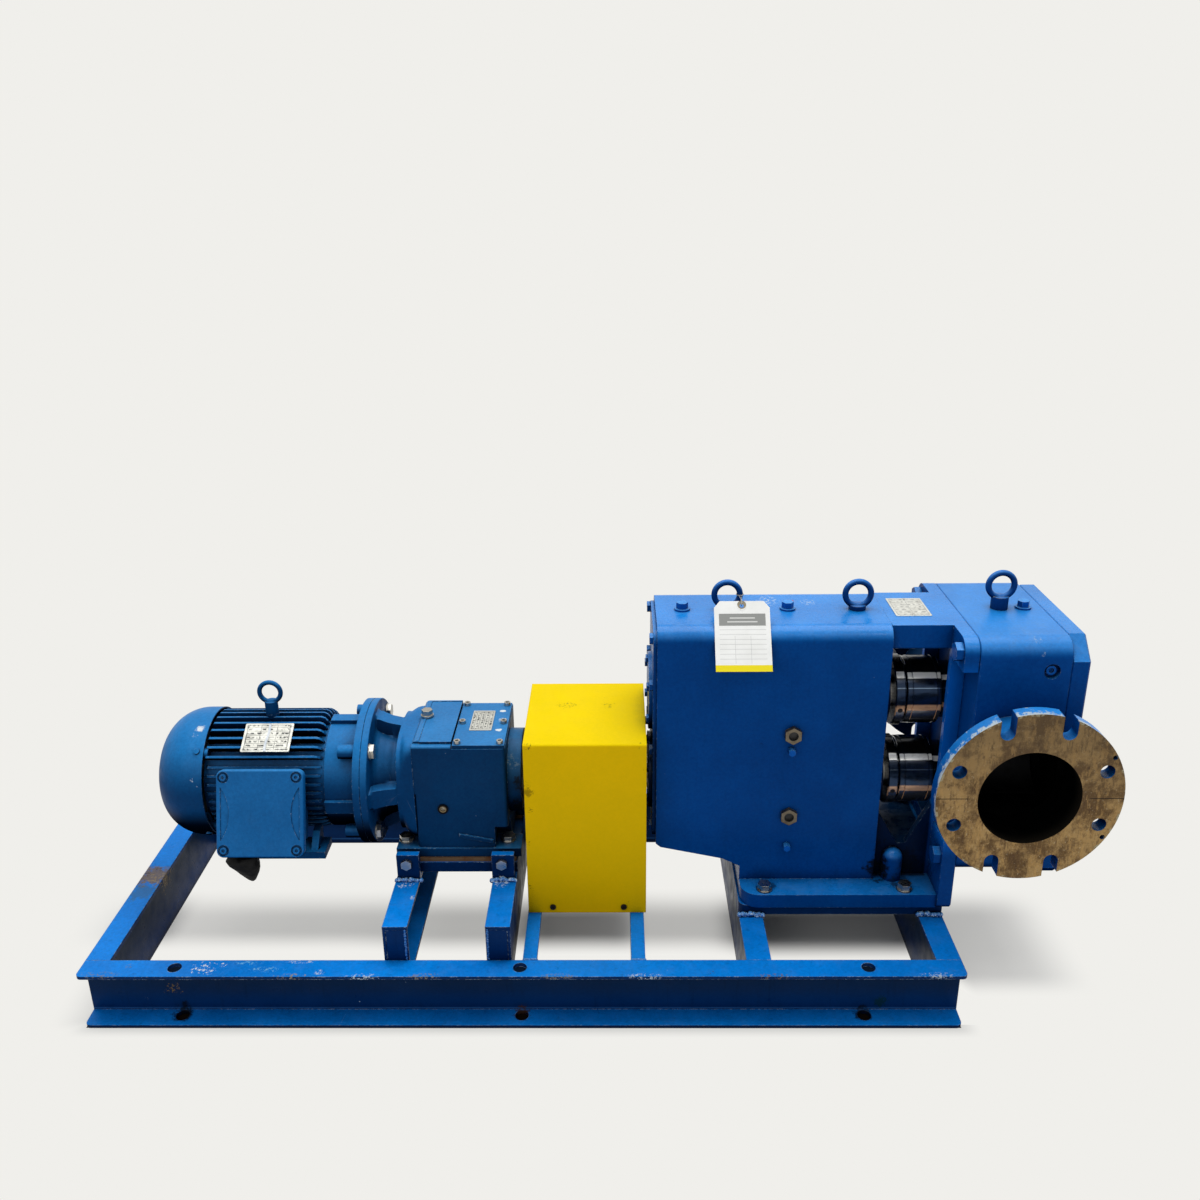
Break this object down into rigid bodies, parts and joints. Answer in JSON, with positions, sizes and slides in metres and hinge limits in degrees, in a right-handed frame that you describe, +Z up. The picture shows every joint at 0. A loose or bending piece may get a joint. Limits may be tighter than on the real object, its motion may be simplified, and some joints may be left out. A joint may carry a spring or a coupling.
{
  "type": "rotary lobe pump set",
  "caption": "Skid-mounted rotary lobe pump with flanged ports, timing-gear casing, guarded coupling and coaxial gear motor.",
  "frame": {"origin": "centre of the skid's anchor hole pattern, on the floor", "axes": "+X from motor to pump head, +Z up, -Y out of the front port flange"},
  "size_m": [1.6335, 0.576, 0.676],
  "materials": {
    "paint_blue": "gloss enamel, chipped",
    "paint_motor": "satin enamel",
    "paint_yellow": "satin enamel",
    "bare_steel": "machined",
    "dark_steel": "oiled black",
    "plate": "etched plate",
    "rubber": "matt",
    "card": "coated card",
    "cast_iron": "as cast",
    "seal_chrome": "polished stainless",
    "rusty_steel": "light rust"
  },
  "bodies": {
    "skid": {"skid_front_rail": "paint_blue", "skid_rear_rail": "paint_blue", "skid_left_member": "paint_blue", "skid_right_member": "paint_blue", "reducer_supports": "paint_blue", "guard_supports": "paint_blue", "pump_cross_channel": "paint_blue", "reducer_base_plate": "paint_blue", "reducer_shims": "rusty_steel", "jacking_clips": "paint_blue", "jacking_screws": "bare_steel", "pump_pedestal_plate": "paint_blue", "coupling_guard": "paint_yellow", "guard_screws": "dark_steel", "motor_frame": "paint_motor", "drive_end_shield": "paint_motor", "fan_cowl": "paint_motor", "terminal_box": "paint_motor", "terminal_box_lid": "paint_motor", "cable_stub": "rubber", "motor_nameplate": "plate", "motor_eyebolt": "paint_motor", "stator_core": "cast_iron", "input_adapter": "paint_motor", "flange_bolts": "bare_steel", "reducer_housing": "paint_motor", "reducer_top_cover": "paint_motor", "reducer_fittings": "bare_steel", "reducer_nameplate": "plate", "reducer_foot_bolts": "bare_steel", "drive_bearings": "bare_steel", "gear_casing": "paint_blue", "end_cover": "paint_blue", "pump_cover_bolts": "paint_blue", "pump_bearings": "bare_steel", "bearing_bracket": "paint_blue", "seal_glands": "seal_chrome", "rotor_casing": "paint_blue", "front_cover": "paint_blue", "pump_foot_bolts": "dark_steel", "sight_glasses": "rusty_steel", "casing_plugs": "paint_blue", "pump_eyebolts": "paint_blue", "pump_nameplate": "plate", "tag_wire": "bare_steel"},
    "drive_line": {"output_shaft": "bare_steel", "coupling_hubs": "cast_iron", "coupling_spider": "rubber", "drive_shaft": "bare_steel", "timing_gear_lower": "bare_steel", "lower_rotor": "bare_steel", "lower_seal_collar": "seal_chrome"},
    "driven_line": {"driven_shaft": "bare_steel", "timing_gear_upper": "bare_steel", "upper_rotor": "bare_steel", "upper_seal_collar": "seal_chrome"},
    "counter_line": {"countershaft": "bare_steel"},
    "motor_line": {"motor_rotor": "bare_steel", "cooling_fan": "rubber"},
    "card": {"service_tag": "card"}
  },
  "joints": [
    {"name": "drive_spin", "type": "hinge", "parent": "skid", "child": "drive_line", "pos_m": [0, 0, 0.312], "axis": [1, 0, 0], "continuous": true},
    {"name": "driven_spin", "type": "hinge", "parent": "skid", "child": "driven_line", "pos_m": [0, 0, 0.464], "axis": [1, 0, 0], "continuous": true},
    {"name": "counter_spin", "type": "hinge", "parent": "skid", "child": "counter_line", "pos_m": [0, 0, 0.252], "axis": [1, 0, 0], "continuous": true},
    {"name": "motor_spin", "type": "hinge", "parent": "skid", "child": "motor_line", "pos_m": [0, 0, 0.312], "axis": [1, 0, 0], "continuous": true},
    {"name": "card_swing", "type": "hinge", "parent": "skid", "child": "card", "pos_m": [0.3575, -0.05539, 0.63904], "axis": [1, 0, 0], "range_deg": [-40, 0]}
  ],
  "couplings": [
    {"joint": "driven_spin", "follows": "drive_spin", "ratio": -1},
    {"joint": "counter_spin", "follows": "drive_spin", "ratio": -2.4286},
    {"joint": "motor_spin", "follows": "drive_spin", "ratio": 7.9796}
  ]
}
